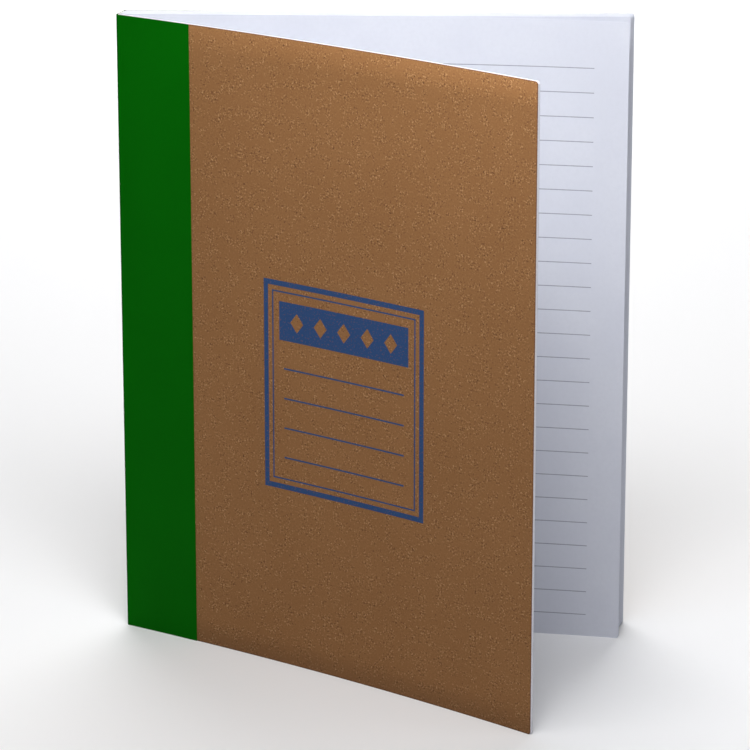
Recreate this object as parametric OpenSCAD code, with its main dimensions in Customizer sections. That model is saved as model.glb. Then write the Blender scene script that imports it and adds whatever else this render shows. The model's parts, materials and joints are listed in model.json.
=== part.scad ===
// Tape-bound notebook with kraft covers, standing on its tail edges with the front cover ajar.
// X runs from the spine to the fore edge, Y from the front cover to the back cover, Z from tail to head.
// The origin is under the middle of the outer box of the notebook as it stands.

/* [Leaves] */
// Height of every page and cover, tail to head
leaf_h = 178; // [120:1:260]
// Width of every page and cover, spine to fore edge
leaf_w = 140; // [90:1:210]
// Radius of the trimmed corners at the fore edge
corner_r = 0.8; // [0.5:0.1:5]

/* [Page block] */
// Thickness of the page block at its glued edge
block_t = 3.8; // [2:0.1:12]
// Distance by which the glued edge leans towards the fore edge at the back
spine_lean = 1.4; // [0.2:0.1:3]
// Angle through which the page block fans open over its width
block_fan = 0.5; // [0:0.1:2]
// Thickness of the first pages, which have lifted off the block
lifted_t = 0.2; // [0.1:0.05:0.6]
// Distance from the spine at which the first pages lift off
lift_run = 63; // [40:1:80]
// Angle through which the first pages curl open beyond that distance
lift_turn = 10.5; // [4:0.5:14]

/* [Covers] */
// Thickness of the kraft board of a cover
board_t = 0.5; // [0.3:0.05:1.2]
// Thickness of the white lining glued inside a cover
lining_t = 0.5; // [0.2:0.05:1]
// Angle at which the front cover leaves the spine, opened from the closed position
front_start = 32.5; // [20:0.5:80]
// Further angle through which the front cover flares open over its width
front_turn = 9; // [2:0.5:12]
// Angle at which the back cover leaves the spine, towards the front
back_start = 3; // [0:0.5:3]
// Angle through which the back cover bends away from the front over its width
back_turn = 3; // [2.5:0.5:5]

/* [Spine tape] */
// Thickness of the green tape
tape_t = 0.2; // [0.1:0.05:0.4]
// Width of the tape on the front cover
tape_w_front = 23.7; // [10:0.1:45]
// Width of the tape on the back cover
tape_w_back = 23.7; // [10:0.1:45]
// Thickness of the glue between the page block and the tape
glue_t = 0.4; // [0.2:0.1:1]

/* [Clearances] */
// Gap between the page block and the front cover at the hinge
front_gap = 0.3; // [0.2:0.05:0.6]
// Gap between the page block and the back cover
back_gap = 0.3; // [0.2:0.05:0.6]

/* [Hidden] */

kraft_colour = [0.62, 0.44, 0.28];
lining_colour = [0.93, 0.93, 0.94];
page_colour = [0.87, 0.88, 0.92];
green_colour = [0.02, 0.38, 0.04];
glue_colour = [0.9, 0.87, 0.78];

// Flats across each bent leaf, few enough to stay light and fine enough to look smooth
bend_steps = 24;
bend_step = leaf_w / bend_steps;
least_share = 0.001;
corner_facets = 48;
// How far a cutting shape reaches past what it cuts
cut_over = 1;

// Each cover turns about the middle of its own thickness, so that its end stays inside that radius
cover_t = board_t + lining_t + tape_t;
hinge_r = cover_t / 2;
board_out = hinge_r - tape_t;
board_in = board_out - board_t;
lining_in = -hinge_r;

// Plan places, measured from the front hinge before the notebook is centred
front_hinge = [0, 0];
block_front = [0, hinge_r + front_gap];
back_hinge = [spine_lean, hinge_r + front_gap + block_t + back_gap + hinge_r];

// Curls, in degrees for each millimetre from the spine, positive towards the front
front_curl = front_turn / leaf_w;
back_curl = -back_turn / leaf_w;
block_curl = (block_fan - back_turn) / leaf_w;
lift_w = leaf_w - lift_run;
lift_curl = lift_turn / lift_w;

// Plan of a bent sheet: it leaves the origin along the X axis and turns evenly towards the front
function bend_radius(curl) = 180 / (PI * curl);
function towards_front(angle) = [-sin(angle), -cos(angle)];
function middle_point(curl, run) =
    bend_radius(curl) * [sin(curl * run), cos(curl * run) - 1];
function face_point(curl, run, side) =
    middle_point(curl, run) + side * towards_front(curl * run);
function between(a, b, share) = a + (b - a) * share;
function face_end(curl, side, width, whole) = between(
    face_point(curl, whole * bend_step, side),
    face_point(curl, (whole + 1) * bend_step, side),
    width / bend_step - whole
);
// A narrow sheet keeps the flats of the wide one, so that the two lie face to face
function face_line(curl, side, width) =
    let (whole = ceil(width / bend_step - least_share) - 1)
    concat(
        [for (step = [0:whole]) face_point(curl, step * bend_step, side)],
        [face_end(curl, side, width, whole)]
    );
function turned(point, angle) =
    [point.x * cos(angle) + point.y * sin(angle), point.y * cos(angle) - point.x * sin(angle)];
function placed(line, angle, place) = [for (point = line) turned(point, angle) + place];
function reversed(line) = [for (index = [len(line) - 1:-1:0]) line[index]];
function last(line) = line[len(line) - 1];

// Outlines of the page block, its lifted first pages and the spine
block_face = placed(face_line(block_curl, 0, leaf_w), back_start, block_front);
block_back = placed(face_line(back_curl, hinge_r + back_gap, leaf_w), back_start, back_hinge);
block_outline = concat(block_face, reversed(block_back));
lift_place = last(placed(face_line(block_curl, 0, lift_run), back_start, block_front));
lift_start = back_start + block_curl * lift_run;
lifted_face = placed(face_line(lift_curl, 0, lift_w), lift_start, lift_place);
lifted_back = placed(face_line(lift_curl, -lifted_t, lift_w), lift_start, lift_place);
lifted_outline = concat(lifted_face, reversed(lifted_back));
spine_edge = block_back[0] - block_front;
spine_out = [-spine_edge.y, spine_edge.x] / norm(spine_edge);

// Middle of the outer box, from the points that can lie furthest out
front_outer = placed(face_line(front_curl, hinge_r, tape_w_front), front_start, front_hinge);
front_board = placed(face_line(front_curl, board_out, leaf_w), front_start, front_hinge);
front_inner = placed(face_line(front_curl, lining_in, leaf_w), front_start, front_hinge);
back_outer = placed(face_line(back_curl, -hinge_r, tape_w_back), back_start, back_hinge);
back_board = placed(face_line(back_curl, -board_out, leaf_w), back_start, back_hinge);
back_inner = placed(face_line(back_curl, hinge_r, leaf_w), back_start, back_hinge);
spine_outer = [
    block_front + spine_out * (glue_t + tape_t),
    block_back[0] + spine_out * (glue_t + tape_t)
];
outer_points = concat(
    front_outer, front_board, front_inner, back_outer, back_board, back_inner, block_outline, spine_outer
);
xs = [for (point = outer_points) point.x];
ys = [for (point = outer_points) point.y];
box_middle = [(min(xs) + max(xs)) / 2, (min(ys) + max(ys)) / 2];

// Moves the notebook so that its outer box stands centred on the origin
module centred() {
    translate([-box_middle.x, -box_middle.y, 0]) children();
}

// The waste outside one rounded corner, along Y, with the corner's tip at the origin
module corner_waste(reach) {
    rotate([90, 0, 0])
        linear_extrude(height = reach, center = true)
            difference() {
                translate([-corner_r, -cut_over])
                    square(corner_r + cut_over);
                translate([-corner_r, corner_r])
                    circle(r = corner_r, $fn = corner_facets);
            }
}

// Both corners of a fore edge that stands at a plan place and faces along an angle
module fore_corners(place, angle, reach) {
    translate([place.x, place.y, 0])
        rotate(-angle) {
            corner_waste(reach);
            translate([0, 0, leaf_h])
                mirror([0, 0, 1])
                    corner_waste(reach);
        }
}

// A bent sheet between two faces, with its hinge edge on the Z axis
module bent_sheet(curl, side_a, side_b, width) {
    linear_extrude(height = leaf_h)
        polygon(concat(face_line(curl, side_a, width), reversed(face_line(curl, side_b, width))));
}

// A bent sheet as wide as the leaves, with rounded corners at its fore edge
module cornered_sheet(curl, side_a, side_b) {
    difference() {
        bent_sheet(curl, side_a, side_b, leaf_w);
        fore_corners(middle_point(curl, leaf_w), curl * leaf_w, 2 * (cover_t + cut_over));
    }
}

// Stands what belongs to the front cover at its hinge, ajar
module on_front() {
    centred()
        translate([front_hinge.x, front_hinge.y, 0])
            rotate(-front_start)
                children();
}

// Stands what belongs to the back cover at its hinge, against the page block
module on_back() {
    centred()
        translate([back_hinge.x, back_hinge.y, 0])
            rotate(-back_start)
                children();
}

// A flat strip along the glued edge of the page block, between two distances from it
module spine_strip(near, far) {
    linear_extrude(height = leaf_h)
        polygon([
            block_front + spine_out * near,
            block_front + spine_out * far,
            block_back[0] + spine_out * far,
            block_back[0] + spine_out * near
        ]);
}

// All pages, glued together at the spine, with the first of them lifted at the fore edge
module page_block() {
    fore_edge = last(block_back) - last(block_face);
    color(page_colour)
        centred()
            difference() {
                linear_extrude(height = leaf_h) {
                    polygon(block_outline);
                    polygon(lifted_outline);
                }
                fore_corners(
                    (last(block_face) + last(block_back)) / 2,
                    atan2(fore_edge.x, fore_edge.y),
                    norm(fore_edge) + 2 * (corner_r + cut_over)
                );
                fore_corners(last(lifted_face), lift_start + lift_turn, 2 * (lifted_t + cut_over));
            }
}

// The glue that holds the pages together and to the tape
module spine_glue() {
    color(glue_colour)
        centred()
            spine_strip(0, glue_t);
}

// The part of the tape that covers the spine, between the two creases
module spine_tape() {
    color(green_colour)
        centred()
            spine_strip(glue_t, glue_t + tape_t);
}

// The kraft board of the front cover
module front_cover() {
    color(kraft_colour)
        on_front()
            cornered_sheet(front_curl, board_out, board_in);
}

// The white lining inside the front cover
module front_lining() {
    color(lining_colour)
        on_front()
            cornered_sheet(front_curl, board_in, lining_in);
}

// The part of the tape that lies on the front cover
module front_tape() {
    color(green_colour)
        on_front()
            bent_sheet(front_curl, hinge_r, board_out, tape_w_front);
}

// The kraft board of the back cover
module back_cover() {
    color(kraft_colour)
        on_back()
            cornered_sheet(back_curl, -board_out, -board_in);
}

// The white lining inside the back cover
module back_lining() {
    color(lining_colour)
        on_back()
            cornered_sheet(back_curl, -board_in, -lining_in);
}

// The part of the tape that lies on the back cover
module back_tape() {
    color(green_colour)
        on_back()
            bent_sheet(back_curl, -hinge_r, -board_out, tape_w_back);
}

page_block();
spine_glue();
spine_tape();
front_cover();
front_lining();
front_tape();
back_cover();
back_lining();
back_tape();
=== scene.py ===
import json
import math

import bmesh
import bpy
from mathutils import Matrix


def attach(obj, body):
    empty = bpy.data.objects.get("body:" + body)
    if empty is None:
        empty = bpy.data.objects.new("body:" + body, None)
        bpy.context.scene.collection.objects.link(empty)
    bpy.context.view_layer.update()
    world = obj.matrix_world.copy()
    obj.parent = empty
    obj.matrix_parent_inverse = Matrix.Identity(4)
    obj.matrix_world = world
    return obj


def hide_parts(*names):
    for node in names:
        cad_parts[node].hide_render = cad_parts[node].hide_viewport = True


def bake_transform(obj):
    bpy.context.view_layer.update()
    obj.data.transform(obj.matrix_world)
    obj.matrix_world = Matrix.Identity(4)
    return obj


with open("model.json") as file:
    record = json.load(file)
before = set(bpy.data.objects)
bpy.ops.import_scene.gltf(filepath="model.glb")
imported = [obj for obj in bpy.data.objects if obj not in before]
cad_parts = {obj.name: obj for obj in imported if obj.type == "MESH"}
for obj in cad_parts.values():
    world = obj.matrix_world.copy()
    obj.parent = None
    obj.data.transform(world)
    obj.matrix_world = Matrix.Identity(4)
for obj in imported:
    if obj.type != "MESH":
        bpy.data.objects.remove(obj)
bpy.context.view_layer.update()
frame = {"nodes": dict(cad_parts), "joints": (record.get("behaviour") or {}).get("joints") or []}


# Ruled leaves. Forty sheets of bluish white paper, ruled in grey on both sides, cut square at
# the spine and rounded at the two fore-edge corners. The first two stand off the stack at the
# fore edge. Geometry Nodes bends one flat sheet into every leaf.
MM = 0.001
LEAF_WIDTH = 140 * MM
LEAF_HEIGHT = 178 * MM
LEAF_THICKNESS = 0.085 * MM
CORNER_RADIUS = 0.8 * MM
CORNER_STEPS = 6
LEAF_COUNT = 40
LIFTED_LEAVES = 2
CREASE = {joint["name"]: joint["pos_m"] for joint in frame["joints"]}
FRONT_CREASE = CREASE["front_cover_crease"]
BACK_CREASE = CREASE["back_cover_crease"]
CREASE_TO_STACK = 0.9 * MM
STACK_HEADING = math.radians(3)
STACK_FRONT = (FRONT_CREASE[0], FRONT_CREASE[1] + CREASE_TO_STACK)
STACK_BACK = (
    BACK_CREASE[0] - CREASE_TO_STACK * math.sin(STACK_HEADING),
    BACK_CREASE[1] - CREASE_TO_STACK * math.cos(STACK_HEADING),
)
FIRST_TURN = math.radians(-2.5)
LAST_TURN = math.radians(-3)
LIFT_RUN = 63 * MM
LIFT_TURN = math.radians(10.5)


class Signal:
    """A node's output that takes part in Python arithmetic by adding Math nodes."""

    def __init__(self, tree, socket):
        self.tree = tree
        self.socket = socket

    def maths(self, operation, *values):
        return self.tree.node("ShaderNodeMath", {"operation": operation}, dict(enumerate(values)))

    def output(self, name):
        return Signal(self.tree, self.socket.node.outputs[name])

    def __add__(self, other):
        return self.maths("ADD", self, other)

    def __sub__(self, other):
        return self.maths("SUBTRACT", self, other)

    def __mul__(self, other):
        return self.maths("MULTIPLY", self, other)

    def __truediv__(self, other):
        return self.maths("DIVIDE", self, other)

    def __pow__(self, other):
        return self.maths("POWER", self, other)

    def __rsub__(self, other):
        return self.maths("SUBTRACT", other, self)

    def __rpow__(self, other):
        return self.maths("POWER", other, self)

    __radd__ = __add__
    __rmul__ = __mul__

    def __abs__(self):
        return self.maths("ABSOLUTE", self)

    def at_most(self, other):
        return self.maths("MINIMUM", self, other)

    def at_least(self, other):
        return self.maths("MAXIMUM", self, other)

    def below(self, other):
        return self.maths("LESS_THAN", self, other)

    def sine(self):
        return self.maths("SINE", self)

    def cosine(self):
        return self.maths("COSINE", self)

    def fraction(self):
        return self.maths("FRACT", self)

    def ease(self, low, high):
        """0 below low, 1 above high and a smooth step between them."""
        return self.tree.node(
            "ShaderNodeMapRange",
            {"interpolation_type": "SMOOTHSTEP"},
            {"Value": self, "From Min": low, "From Max": high},
        )


class Tree:
    """A node tree, with one method that makes any of its nodes."""

    def __init__(self, tree):
        self.tree = tree
        tree.nodes.clear()

    def node(self, kind, settings=None, values=None, output=0):
        made = self.tree.nodes.new(kind)
        for name, setting in (settings or {}).items():
            setattr(made, name, setting)
        for key, value in (values or {}).items():
            if isinstance(value, Signal):
                self.tree.links.new(value.socket, made.inputs[key])
            else:
                made.inputs[key].default_value = value
        return Signal(self, made.outputs[output] if made.outputs else None)

    def mix(self, share, first, second):
        colours = {
            key: (*value, 1.0) if isinstance(value, tuple) else value
            for key, value in (("A", first), ("B", second))
        }
        return self.node(
            "ShaderNodeMix",
            {"data_type": "RGBA"},
            {0: share, 6: colours["A"], 7: colours["B"]},
            output=2,
        )

    def noise(self, place, scale, detail=2.0, roughness=0.5):
        values = {"Vector": place, "Scale": scale, "Detail": detail, "Roughness": roughness}
        return self.node("ShaderNodeTexNoise", None, values)


def new_finish(name):
    material = bpy.data.materials.new(name)
    material.use_nodes = True
    return material, Tree(material.node_tree)


def paper_finish():
    """Uncoated writing paper with its grey ruling, laid out on the flat sheet."""
    pitch, first_line, last_line, line_end = 6.89, 164.9, 6.4, 130.5
    half_line = 0.12
    material, tree = new_finish("ruled paper")
    flat = tree.node("ShaderNodeUVMap", {"uv_map": "flat"})
    parts = tree.node("ShaderNodeSeparateXYZ", None, {0: flat})
    run = parts * (LEAF_WIDTH / MM)
    height = parts.output("Y") * (LEAF_HEIGHT / MM)
    place = tree.node("ShaderNodeTexCoord", output="Object")
    off_line = abs(((first_line - height) / pitch + 0.5).fraction() - 0.5) * pitch
    line = 1 - off_line.ease(half_line * 0.6, half_line * 1.4)
    line = line * run.below(line_end) * height.below(first_line + 1) * (1 - height.below(last_line - 1))
    grain = tree.noise(place, 900, 4)
    cloud = tree.noise(place, 55, 3)
    sheet = tree.mix(cloud.ease(0.3, 0.7), (0.600, 0.619, 0.700), (0.628, 0.647, 0.722))
    sheet = tree.mix(grain.ease(0.35, 0.75) * 0.3, sheet, (0.568, 0.587, 0.662))
    ruled = tree.mix(line * (0.7 + grain * 0.3), sheet, (0.2, 0.215, 0.27))
    bump = tree.node("ShaderNodeBump", None, {"Height": grain, "Strength": 0.12, "Distance": 0.00005})
    values = {"Base Color": ruled, "Roughness": 0.72, "Normal": bump}
    shader = tree.node("ShaderNodeBsdfPrincipled", None, values)
    tree.node("ShaderNodeOutputMaterial", None, {"Surface": shader})
    return material


def cut_columns(spacing, softened=0.0):
    """The columns of a sheet from the spine to the fore edge: each one's run, foot and head."""
    straight = LEAF_WIDTH - CORNER_RADIUS
    count = round(straight / spacing)
    runs = [0.0] + [softened] * (softened > 0) + [straight * step / count for step in range(1, count + 1)]
    columns = [(run, 0.0, LEAF_HEIGHT) for run in runs]
    for step in range(1, CORNER_STEPS + 1):
        angle = math.pi / 2 * step / CORNER_STEPS
        drop = CORNER_RADIUS * (1 - math.cos(angle))
        columns.append((straight + CORNER_RADIUS * math.sin(angle), drop, LEAF_HEIGHT - drop))
    return columns


def sheet_mesh(name, columns, rows, line, near, far, softened=0.0):
    """A closed sheet between two distances from a line, with its flat layout kept as a UV map."""
    shares = [step / rows for step in range(rows + 1)]
    if softened:
        shares = [0.0, softened / LEAF_HEIGHT, *shares[1:-1], 1 - softened / LEAF_HEIGHT, 1.0]
    tall, wide = len(shares), len(columns)
    towards = math.copysign(softened, far - near)
    points, flat = [], []
    for side, pull in ((near, towards), (far, -towards)):
        for column, (run, foot, head) in enumerate(columns):
            for row, share in enumerate(shares):
                on_rim = column in (0, wide - 1) or row in (0, tall - 1)
                height = foot + (head - foot) * share
                x, y = line(run, side + pull * on_rim)
                points.append((x, y, height))
                flat.append((run / LEAF_WIDTH, height / LEAF_HEIGHT))
    return closed_mesh(name, points, flat, wide, tall)


def closed_mesh(name, points, flat, wide, tall):
    """Joins two like grids of points, the near side and the far one, into one closed sheet.

    The flat layout is kept as a UV map, and an attribute says how deep each point lies."""
    layer = wide * tall
    faces = []
    for column in range(wide - 1):
        for row in range(tall - 1):
            corner = column * tall + row
            ring = (corner, corner + tall, corner + tall + 1, corner + 1)
            faces += [ring, tuple(layer + index for index in reversed(ring))]
    rim = [column * tall for column in range(wide)]
    rim += [(wide - 1) * tall + row for row in range(1, tall)]
    rim += [column * tall + tall - 1 for column in range(wide - 2, -1, -1)]
    rim += [row for row in range(tall - 2, 0, -1)]
    for here, after in zip(rim, rim[1:] + rim[:1]):
        faces.append((here, layer + here, layer + after, after))
    mesh = bpy.data.meshes.new(name)
    mesh.from_pydata(points, [], faces)
    shaper = bmesh.new()
    shaper.from_mesh(mesh)
    bmesh.ops.recalc_face_normals(shaper, faces=shaper.faces)
    shaper.to_mesh(mesh)
    shaper.free()
    layout = mesh.uv_layers.new(name="flat")
    for loop in mesh.loops:
        layout.data[loop.index].uv = flat[loop.vertex_index]
    depth = mesh.attributes.new("depth", "FLOAT", "POINT")
    depth.data.foreach_set("value", [0.0] * layer + [1.0] * layer)
    mesh.shade_smooth()
    mesh.set_sharp_from_angle(angle=math.radians(60))
    return mesh


def add_piece(name, mesh, material=None):
    piece = bpy.data.objects.new(name, mesh)
    bpy.context.scene.collection.objects.link(piece)
    if material:
        mesh.materials.append(material)
    return piece


def leaf_bender(material):
    """The tree that copies one flat sheet and bends each copy to its place in the stack."""
    group = bpy.data.node_groups.new("leaves bent from one sheet", "GeometryNodeTree")
    group.interface.new_socket("Sheet", in_out="INPUT", socket_type="NodeSocketGeometry")
    group.interface.new_socket("First leaf", in_out="INPUT", socket_type="NodeSocketInt")
    group.interface.new_socket("Leaf count", in_out="INPUT", socket_type="NodeSocketInt")
    group.interface.new_socket("Ripple", in_out="INPUT", socket_type="NodeSocketFloat")
    group.interface.new_socket("Leaves", in_out="OUTPUT", socket_type="NodeSocketGeometry")
    tree = Tree(group)
    given = tree.node("NodeGroupInput")
    order = tree.node("GeometryNodeInputIndex") + given.output("First leaf")
    one_spot = {"Count": given.output("Leaf count"), "Offset": (0, 0, 0)}
    spots = tree.node("GeometryNodeMeshLine", None, one_spot)
    spots = tree.node(
        "GeometryNodeStoreNamedAttribute",
        {"data_type": "FLOAT", "domain": "POINT"},
        {"Geometry": spots, "Name": "leaf", "Value": order},
    )
    sheet_on_spots = {"Points": spots, "Instance": given.output("Sheet")}
    copies = tree.node("GeometryNodeInstanceOnPoints", None, sheet_on_spots)
    copies = tree.node("GeometryNodeRealizeInstances", None, {"Geometry": copies})

    leaf = tree.node("GeometryNodeInputNamedAttribute", {"data_type": "FLOAT"}, {"Name": "leaf"})
    position = tree.node("GeometryNodeInputPosition")
    parts = tree.node("ShaderNodeSeparateXYZ", None, {0: position})
    run, side, height = parts, parts.output("Y"), parts.output("Z")
    drawn = {2: -0.08, 3: 0.08, "ID": leaf, "Seed": 7}
    stray = tree.node("FunctionNodeRandomValue", {"data_type": "FLOAT"}, drawn, output=1)
    share = (leaf + 0.5 + stray) / LEAF_COUNT
    curl = (FIRST_TURN + share * (LAST_TURN - FIRST_TURN)) / LEAF_WIDTH
    is_lifted = leaf.below(LIFTED_LEAVES - 0.5)
    lift = is_lifted * (1 - leaf * 0.035) + (1 - is_lifted) * 0.06 * 0.72 ** leaf
    lift_curl = LIFT_TURN / (LEAF_WIDTH - LIFT_RUN)

    def arrive(x, y, heading, curl, length):
        """Where a line ends that starts with a heading and turns evenly along its length."""
        turned = curl * length
        chord = length * (1 - turned * turned / 24)
        middle = heading + turned / 2
        return x + chord * middle.cosine(), y - chord * middle.sine(), heading + turned

    start_x = STACK_FRONT[0] + share * (STACK_BACK[0] - STACK_FRONT[0])
    start_y = STACK_FRONT[1] + share * (STACK_BACK[1] - STACK_FRONT[1])
    x, y, heading = arrive(start_x, start_y, STACK_HEADING, curl, run.at_most(LIFT_RUN))
    x, y, heading = arrive(x, y, heading, curl + lift * (lift_curl - curl), (run - LIFT_RUN).at_least(0))
    sampled = tree.node("ShaderNodeCombineXYZ", None, {0: run * 25, 1: leaf * 3.7, 2: height * 18})
    ripple = (tree.noise(sampled, 1.0, 2) - 0.5) * given.output("Ripple") * (run / LEAF_WIDTH)
    side = side + ripple
    bent_place = {0: x - side * heading.sine(), 1: y - side * heading.cosine(), 2: height}
    bent = tree.node("ShaderNodeCombineXYZ", None, bent_place)
    leaves = tree.node("GeometryNodeSetPosition", None, {"Geometry": copies, "Position": bent})
    leaves = tree.node("GeometryNodeSetMaterial", None, {"Geometry": leaves, "Material": material})
    tree.node("NodeGroupOutput", None, {0: leaves})
    return group


def bend_leaves(name, sheet, tree, sizes):
    """Runs the tree on a flat sheet, and keeps the result as a plain mesh."""
    flat_sheet = add_piece(name + "_flat", sheet)
    modifier = flat_sheet.modifiers.new("leaves", "NODES")
    modifier.node_group = tree
    for socket in tree.interface.items_tree:
        if socket.name in sizes:
            modifier[socket.identifier] = sizes[socket.name]
    evaluated = flat_sheet.evaluated_get(bpy.context.evaluated_depsgraph_get())
    mesh = bpy.data.meshes.new_from_object(evaluated)
    mesh.name = name
    flat_sheet.modifiers.remove(modifier)
    bpy.data.objects.remove(flat_sheet)
    return add_piece(name, mesh)


def unbent(run, side):
    return run, side


paper = paper_finish()
half_leaf = LEAF_THICKNESS / 2
flat_leaf = sheet_mesh("flat_leaf", cut_columns(5 * MM), 10, unbent, half_leaf, -half_leaf)
bender = leaf_bender(paper)
lifted_leaves = bend_leaves(
    "lifted_leaves", flat_leaf, bender, {"First leaf": 0, "Leaf count": LIFTED_LEAVES, "Ripple": 0.12 * MM}
)
leaf_stack = bend_leaves(
    "leaf_stack",
    flat_leaf,
    bender,
    {"First leaf": LIFTED_LEAVES, "Leaf count": LEAF_COUNT - LIFTED_LEAVES, "Ripple": 0.02 * MM},
)
for leaves in (lifted_leaves, leaf_stack):
    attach(leaves, "book_block")
    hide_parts("page_block")


# Spine glue. A strip of milky hot-melt glue that holds the leaves together at the spine, under
# the tape. The CAD strip has the right shape, so it stays and gets its finish here.
def glue_finish():
    material, tree = new_finish("spine glue")
    place = tree.node("ShaderNodeTexCoord", output="Object")
    flow = tree.noise(place, 240, 3)
    tone = tree.mix(flow.ease(0.35, 0.7), (0.66, 0.65, 0.58), (0.78, 0.77, 0.72))
    bump = tree.node("ShaderNodeBump", None, {"Height": flow, "Strength": 0.5, "Distance": 0.0001})
    values = {"Base Color": tone, "Roughness": 0.42, "Normal": bump}
    shader = tree.node("ShaderNodeBsdfPrincipled", None, values)
    tree.node("ShaderNodeOutputMaterial", None, {"Surface": shader})
    return material


spine_glue = frame["nodes"]["spine_glue"]
for place in spine_glue.material_slots:
    place.material = glue_finish()


# Kraft covers. Two sheets of card with a white core, faced with brown kraft paper that has fine
# light and dark fibres. The front one stands open and has a plain label printed in blue. Both
# are bowed a little and trimmed with the leaves, and the cut shows the white core.
COVER_COLUMN = 2 * MM
SOFT_EDGE = 0.07 * MM
BOARD_OUT = 0.4 * MM
BOARD_IN = -0.1 * MM
FRONT_START = 32.5
FRONT_TURN = 9
BACK_START = 3
BACK_TURN = -3


def bent_line(start, heading, turn):
    """A sheet's curve from its crease; the side step is positive towards the viewer."""
    first = math.radians(heading)
    curl = math.radians(turn) / LEAF_WIDTH

    def point(run, side):
        angle = first + curl * run
        x = start[0] + (math.sin(angle) - math.sin(first)) / curl - side * math.sin(angle)
        y = start[1] + (math.cos(angle) - math.cos(first)) / curl - side * math.cos(angle)
        return x, y

    return point


def sheet_edge(tree, run, height):
    """How far inside the trimmed outline of a sheet a point lies, in millimetres."""
    radius, wide, tall = CORNER_RADIUS / MM, LEAF_WIDTH / MM, LEAF_HEIGHT / MM
    across = run - (wide - radius)
    above = abs(height - tall / 2) - (tall / 2 - radius)
    out = (across.at_least(0) ** 2 + above.at_least(0) ** 2) ** 0.5
    return radius - out - (across.at_least(above)).at_most(0)


def kraft_finish(name, printed):
    """Kraft paper on white card: cloudy pulp, clumped flecks, curved fibres and a dark cut line."""
    material, tree = new_finish(name)
    flat = tree.node("ShaderNodeUVMap", {"uv_map": "flat"})
    parts = tree.node("ShaderNodeSeparateXYZ", None, {0: flat})
    run = parts * (LEAF_WIDTH / MM)
    height = parts.output("Y") * (LEAF_HEIGHT / MM)
    spread = tree.node("ShaderNodeCombineXYZ", None, {0: run, 1: height})
    cloud = tree.noise(spread, 0.05, 3, 0.5)
    clump = tree.noise(spread, 0.28, 2, 0.6).ease(0.4, 0.6)
    fleck = tree.noise(spread, 1.9, 1, 0.6)

    def strands(scale, level):
        """Short curved fibres, drawn along the level lines of a noise."""
        return 1 - abs(tree.noise(spread, scale, 1, 0.5) - level).ease(0.02, 0.055)

    pale = strands(0.9, 0.53) * fleck.ease(0.52, 0.6) * (0.2 + clump * 0.8)
    dark = strands(1.0, 0.46) * (1 - fleck.ease(0.4, 0.48)) * (0.2 + clump * 0.8)
    pulp = tree.mix(cloud.ease(0.3, 0.7), (0.264, 0.123, 0.0440), (0.276, 0.130, 0.0475))
    pulp = tree.mix(fleck.ease(0.62, 0.7) * (0.15 + clump * 0.6), pulp, (0.45, 0.26, 0.120))
    pulp = tree.mix((1 - fleck.ease(0.28, 0.38)) * (0.15 + clump * 0.65), pulp, (0.115, 0.046, 0.016))
    pulp = tree.mix(pale * 0.8, pulp, (0.47, 0.27, 0.125))
    pulp = tree.mix(dark * 0.85, pulp, (0.11, 0.044, 0.015))
    inside = sheet_edge(tree, run, height)
    pulp = tree.mix((1 - inside.ease(0.1, 0.35)) * 0.7, pulp, (0.12, 0.05, 0.022))
    if printed:
        pulp = tree.mix(label_ink(run, height, fleck), pulp, (0.009, 0.060, 0.185))
    core = tree.node("ShaderNodeAttribute", {"attribute_name": "depth"}, output="Fac").ease(0.16, 0.22)
    sides = tree.mix(fleck.ease(0.35, 0.65), (0.64, 0.63, 0.68), (0.74, 0.73, 0.78))
    tone = tree.mix(core, pulp, sides)
    relief = fleck * 0.5 + pale * 0.6 - dark * 0.4
    bump = tree.node("ShaderNodeBump", None, {"Height": relief, "Strength": 0.3, "Distance": 0.00010})
    values = {"Base Color": tone, "Roughness": 0.7 + fleck * 0.14, "Specular IOR Level": 0.2, "Normal": bump}
    shader = tree.node("ShaderNodeBsdfPrincipled", None, values)
    tree.node("ShaderNodeOutputMaterial", None, {"Surface": shader})
    return material


def label_ink(run, height, fleck):
    """A plain label in one blue ink: a double frame, a solid band at its head and four rules."""
    middle_run, middle_height = 75.5, 81.0
    wide, tall = 26.5, 29.0
    band_height, band_half = 99.5, 5.5
    lozenge_pitch, lozenge_half, lozenge_slope = 8, 2.2, 0.8
    rule_heights = (86.0, 77.5, 69.0, 60.5)
    soft = 0.06
    across, above = abs(run - middle_run), abs(height - middle_height)

    def frame_line(inset, half_width):
        far = (across - (wide - inset)).at_least(above - (tall - inset))
        return 1 - abs(far).ease(half_width - soft, half_width + soft)

    def rule(level):
        stroke = 1 - abs(height - level).ease(0.16, 0.3)
        return stroke * across.below(wide - 6)

    off_band = abs(height - band_height)
    band_end = wide - 4.5
    band = 1 - off_band.ease(band_half - soft, band_half + soft)
    band = band * (1 - across.ease(band_end - soft, band_end + soft))
    spaced = abs((across / lozenge_pitch + 0.5).fraction() - 0.5) * lozenge_pitch
    lozenge = 1 - (spaced + off_band * lozenge_slope).ease(lozenge_half - soft, lozenge_half + soft)
    band = band * (1 - lozenge * across.below(wide - 5.5))
    ink = frame_line(0, 0.75).at_least(frame_line(2.3, 0.22)).at_least(band)
    for level in rule_heights:
        ink = ink.at_least(rule(level))
    return ink * (1 - (1 - fleck.ease(0.3, 0.42)) * 0.4) * 0.95


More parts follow.
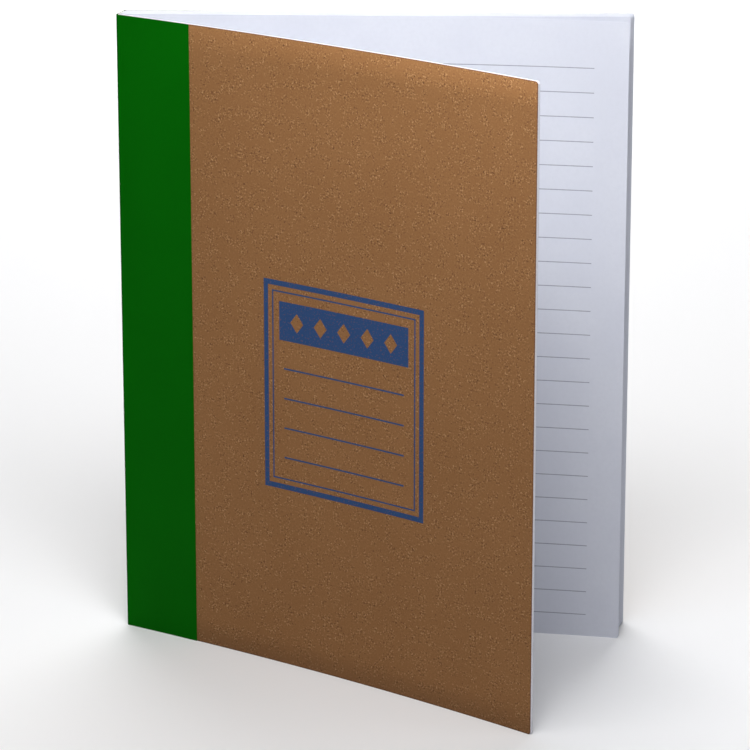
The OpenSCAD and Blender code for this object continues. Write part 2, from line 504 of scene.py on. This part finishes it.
front_line = bent_line(FRONT_CREASE, FRONT_START, FRONT_TURN)
back_line = bent_line(BACK_CREASE, BACK_START, BACK_TURN)
cover_columns = cut_columns(COVER_COLUMN, SOFT_EDGE)
front_kraft = add_piece(
    "front_kraft",
    sheet_mesh("front_kraft", cover_columns, 24, front_line, BOARD_OUT, BOARD_IN, SOFT_EDGE),
    kraft_finish("kraft with label", True),
)
back_kraft = add_piece(
    "back_kraft",
    sheet_mesh("back_kraft", cover_columns, 24, back_line, -BOARD_OUT, -BOARD_IN, SOFT_EDGE),
    kraft_finish("kraft", False),
)
for piece, body, node in (
    (front_kraft, "front_board", "front_cover"),
    (back_kraft, "back_board", "back_cover"),
):
    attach(piece, body)
    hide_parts(node)


# White linings. A thick sheet of smooth white card, pasted to the inside of each cover and trimmed with it.
# Its edge shows as a white line round the kraft, greyed by painted shade on its inner side.
LINING_IN = -0.6 * MM


def lining_finish():
    material, tree = new_finish("white lining")
    flat = tree.node("ShaderNodeUVMap", {"uv_map": "flat"})
    place = tree.node("ShaderNodeTexCoord", output="Object")
    cloud = tree.noise(place, 40, 3)
    grain = tree.noise(place, 1400, 3)
    parts = tree.node("ShaderNodeSeparateXYZ", None, {0: flat})
    inside = sheet_edge(tree, parts * (LEAF_WIDTH / MM), parts.output("Y") * (LEAF_HEIGHT / MM))
    tone = tree.mix(cloud.ease(0.3, 0.7), (0.77, 0.77, 0.80), (0.81, 0.81, 0.84))
    tone = tree.mix(grain.ease(0.45, 0.75) * 0.3, tone, (0.70, 0.70, 0.74))
    tone = tree.mix((1 - inside.ease(0.0, 0.5)) * grain.ease(0.3, 0.6) * 0.35, tone, (0.62, 0.60, 0.60))
    depth = tree.node("ShaderNodeAttribute", {"attribute_name": "depth"}, output="Fac")
    # Painted shade: the cut edge darkens towards the inner face, where it turns away from the light towards
    # the leaves.
    cut = tree.mix(depth.ease(0.6, 0.9), (0.69, 0.68, 0.74), (0.32, 0.34, 0.41))
    tone = tree.mix(depth.below(0.97), tone, cut)
    bump = tree.node("ShaderNodeBump", None, {"Height": grain, "Strength": 0.15, "Distance": 0.00006})
    values = {"Base Color": tone, "Roughness": 0.6, "Normal": bump}
    shader = tree.node("ShaderNodeBsdfPrincipled", None, values)
    tree.node("ShaderNodeOutputMaterial", None, {"Surface": shader})
    return material


white_card = lining_finish()
front_lining = add_piece(
    "front_lining_card",
    sheet_mesh("front_lining_card", cover_columns, 24, front_line, BOARD_IN, LINING_IN, SOFT_EDGE),
    white_card,
)
back_lining = add_piece(
    "back_lining_card",
    sheet_mesh("back_lining_card", cover_columns, 24, back_line, -BOARD_IN, -LINING_IN, SOFT_EDGE),
    white_card,
)
for piece, body, node in (
    (front_lining, "front_board", "front_lining"),
    (back_lining, "back_board", "back_lining"),
):
    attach(piece, body)
    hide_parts(node)


# Spine tape. One strip of green book tape, glued over the spine and on to both covers, where it turns round
# the creases. It is made as two halves that meet along the middle of the spine, each one turning round a
# single crease.
TAPE_OUT = 0.6 * MM
TAPE_IN = 0.4 * MM
TAPE_ON_COVER = 23.7 * MM
SPINE_STEPS = 10
TURN_STEPS = 14
LAP_STEPS = 16
TAPE_ROWS = 24
spine_run = (STACK_BACK[0] - STACK_FRONT[0], STACK_BACK[1] - STACK_FRONT[1])
spine_length = math.hypot(*spine_run)
SPINE_OUTWARDS = (-spine_run[1] / spine_length, spine_run[0] / spine_length)
SPINE_MIDDLE = ((STACK_FRONT[0] + STACK_BACK[0]) / 2, (STACK_FRONT[1] + STACK_BACK[1]) / 2)


def tape_line(crease, corner, cover_line, facing, offset):
    """The tape's cross-section at one depth: down the spine, round the crease, over the cover."""
    from_crease = (corner[0] - crease[0]) * SPINE_OUTWARDS[0] + (corner[1] - crease[1]) * SPINE_OUTWARDS[1]
    first_radius = from_crease + offset
    first_angle = math.atan2(SPINE_OUTWARDS[1], SPINE_OUTWARDS[0])
    landed = cover_line(0, facing * offset)
    last_angle = math.atan2(landed[1] - crease[1], landed[0] - crease[0]) % math.tau
    turn = []
    for step in range(TURN_STEPS + 1):
        share = step / TURN_STEPS
        angle = first_angle + (last_angle - first_angle) * share
        radius = first_radius + (offset - first_radius) * share
        turn.append((crease[0] + radius * math.cos(angle), crease[1] + radius * math.sin(angle)))
    start = [SPINE_MIDDLE[axis] + SPINE_OUTWARDS[axis] * offset for axis in (0, 1)]
    spine = [
        [start[axis] + (turn[0][axis] - start[axis]) * step / SPINE_STEPS for axis in (0, 1)]
        for step in range(SPINE_STEPS)
    ]
    lap = [cover_line(TAPE_ON_COVER * step / LAP_STEPS, facing * offset) for step in range(1, LAP_STEPS + 1)]
    return spine + turn + lap


def tape_mesh(name, crease, corner, cover_line, facing):
    outer = tape_line(crease, corner, cover_line, facing, TAPE_OUT)
    inner = tape_line(crease, corner, cover_line, facing, TAPE_IN)
    heights = [LEAF_HEIGHT * step / TAPE_ROWS for step in range(TAPE_ROWS + 1)]
    lengths = [0.0]
    for here, after in zip(outer, outer[1:]):
        lengths.append(lengths[-1] + math.dist(here, after))
    points, flat = [], []
    for path in (outer, inner):
        for (x, y), length in zip(path, lengths):
            points += [(x, y, height) for height in heights]
            flat += [(length / LEAF_WIDTH, height / LEAF_HEIGHT) for height in heights]
    return closed_mesh(name, points, flat, len(outer), len(heights))


def tape_finish():
    """Smooth green book tape with a faint paper tooth, and painted shade where it turns round the spine."""
    material, tree = new_finish("green tape")
    flat = tree.node("ShaderNodeUVMap", {"uv_map": "flat"})
    run = tree.node("ShaderNodeSeparateXYZ", None, {0: flat}) * (LEAF_WIDTH / MM)
    place = tree.node("ShaderNodeTexCoord", output="Object")
    cloud = tree.noise(place, 38, 3)
    tooth = tree.noise(place, 1500, 3)
    tone = tree.mix(cloud.ease(0.3, 0.7), (0.0003, 0.105, 0.0005), (0.0005, 0.113, 0.0007))
    tone = tree.mix(tooth.ease(0.5, 0.8) * 0.25, tone, (0.001, 0.145, 0.001))
    # Painted shade: the base colour is darkened on the band where the tape turns round the spine, away from
    # the light.
    corner = run.ease(1.6, 2.1) * (1 - run.ease(3.1, 4.0))
    tone = tree.mix(corner * 0.7, tone, (0.0003, 0.03, 0.0005))
    bump = tree.node("ShaderNodeBump", None, {"Height": tooth, "Strength": 0.12, "Distance": 0.00005})
    values = {"Base Color": tone, "Roughness": 0.6 + tooth * 0.1, "Specular IOR Level": 0.03, "Normal": bump}
    shader = tree.node("ShaderNodeBsdfPrincipled", None, values)
    tree.node("ShaderNodeOutputMaterial", None, {"Surface": shader})
    return material


green_tape = tape_finish()
front_tape = add_piece(
    "tape_front_half", tape_mesh("tape_front_half", FRONT_CREASE, STACK_FRONT, front_line, 1), green_tape
)
back_tape = add_piece(
    "tape_back_half", tape_mesh("tape_back_half", BACK_CREASE, STACK_BACK, back_line, -1), green_tape
)


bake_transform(front_tape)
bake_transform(back_tape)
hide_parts("front_tape", "spine_tape")
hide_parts("back_tape", "spine_tape")


# Floor, lights and camera. A pale floor that glows faintly beyond the lamps' reach, soft round
# lamps above and in front, and lamps that whiten the floor round the journal. The view is the
# photograph's: level from side to side, and from a little above the head of the journal.
FLOOR_HALF = 6
GLOW_START = 0.5
GLOW_FULL = 1.5
GLOW = 0.8


def floor_finish():
    material, tree = new_finish("pale floor")
    place = tree.node("ShaderNodeTexCoord", output="Object")
    cloud = tree.noise(place, 3, 3)
    tone = tree.mix(cloud, (0.86, 0.86, 0.87), (0.88, 0.88, 0.89))
    away = tree.node("ShaderNodeVectorMath", {"operation": "LENGTH"}, {0: place}, output="Value")
    glow = tree.mix(away.ease(GLOW_START, GLOW_FULL), (0.0, 0.0, 0.0), (GLOW, GLOW, GLOW))
    values = {"Base Color": tone, "Roughness": 0.7, "Emission Color": glow, "Emission Strength": 1.0}
    shader = tree.node("ShaderNodeBsdfPrincipled", None, values)
    tree.node("ShaderNodeOutputMaterial", None, {"Surface": shader})
    return material


floor_mesh = bpy.data.meshes.new("floor")
floor_corners = [(x * FLOOR_HALF, y * FLOOR_HALF, 0) for x, y in ((-1, -1), (1, -1), (1, 1), (-1, 1))]
floor_mesh.from_pydata(floor_corners, [], [(0, 1, 2, 3)])
add_piece("floor", floor_mesh, floor_finish())


def area_light(name, place, aim, size, power):
    light = bpy.data.lights.new(name, "AREA")
    light.shape = "DISK"
    light.size = size
    light.energy = power
    lamp = bpy.data.objects.new(name, light)
    bpy.context.scene.collection.objects.link(lamp)
    lamp.location = place
    lamp.visible_camera = False
    away = [here - there for here, there in zip(place, aim)]
    lamp.rotation_euler = (math.acos(away[2] / math.hypot(*away)), 0, math.atan2(away[0], -away[1]))


area_light("front_high", (0, -0.35, 0.62), (0, 0, 0.14), 0.25, 1.5)
area_light("front_left", (-0.05, -0.10, 0.34), (0, 0, 0.14), 0.12, 0.26)
area_light("front_near", (0.03, -0.12, 0.30), (0, 0, 0.14), 0.10, 0.204)
area_light("side", (0.35, -0.10, 0.30), (0.05, 0, 0.14), 0.2, 0.16)
area_light("side_far", (0.6, -0.6, 0.3), (0, 0, 0.1), 0.5, 0.4)
area_light("floor_far", (0, 0.8, 0.8), (0, 0.8, 0), 0.9, 8.2)
area_light("floor_near", (0, 0.45, 0.6), (0, 0.5, 0), 0.7, 1.1)
area_light("floor_left", (-0.8, 0.2, 0.9), (-0.6, 0.2, 0), 0.9, 0.9)

# The studio's walls are pale to the eye, and give the journal almost no light.
SEEN_WALLS = 0.85
WALL_LIGHT = 0.01
world = bpy.data.worlds.new("studio")
world.use_nodes = True
studio = Tree(world.node_tree)
seen = studio.node("ShaderNodeLightPath", output="Is Camera Ray")
wall_strength = seen * (SEEN_WALLS - WALL_LIGHT) + WALL_LIGHT
walls = studio.node("ShaderNodeBackground", None, {"Color": (1, 1, 1, 1), "Strength": wall_strength})
studio.node("ShaderNodeOutputWorld", None, {"Surface": walls})
bpy.context.scene.world = world
bpy.context.scene.view_settings.view_transform = "Standard"

view = bpy.data.cameras.new("photograph")
view.sensor_width = 36
view.lens = 191.29
view.clip_end = 50
camera = bpy.data.objects.new("photograph", view)
bpy.context.scene.collection.objects.link(camera)
camera.location = (-0.3 * MM, -1034.9 * MM, 399.4 * MM)
camera.rotation_euler = (math.radians(90 - 16.819), 0, 0)
bpy.context.scene.camera = camera
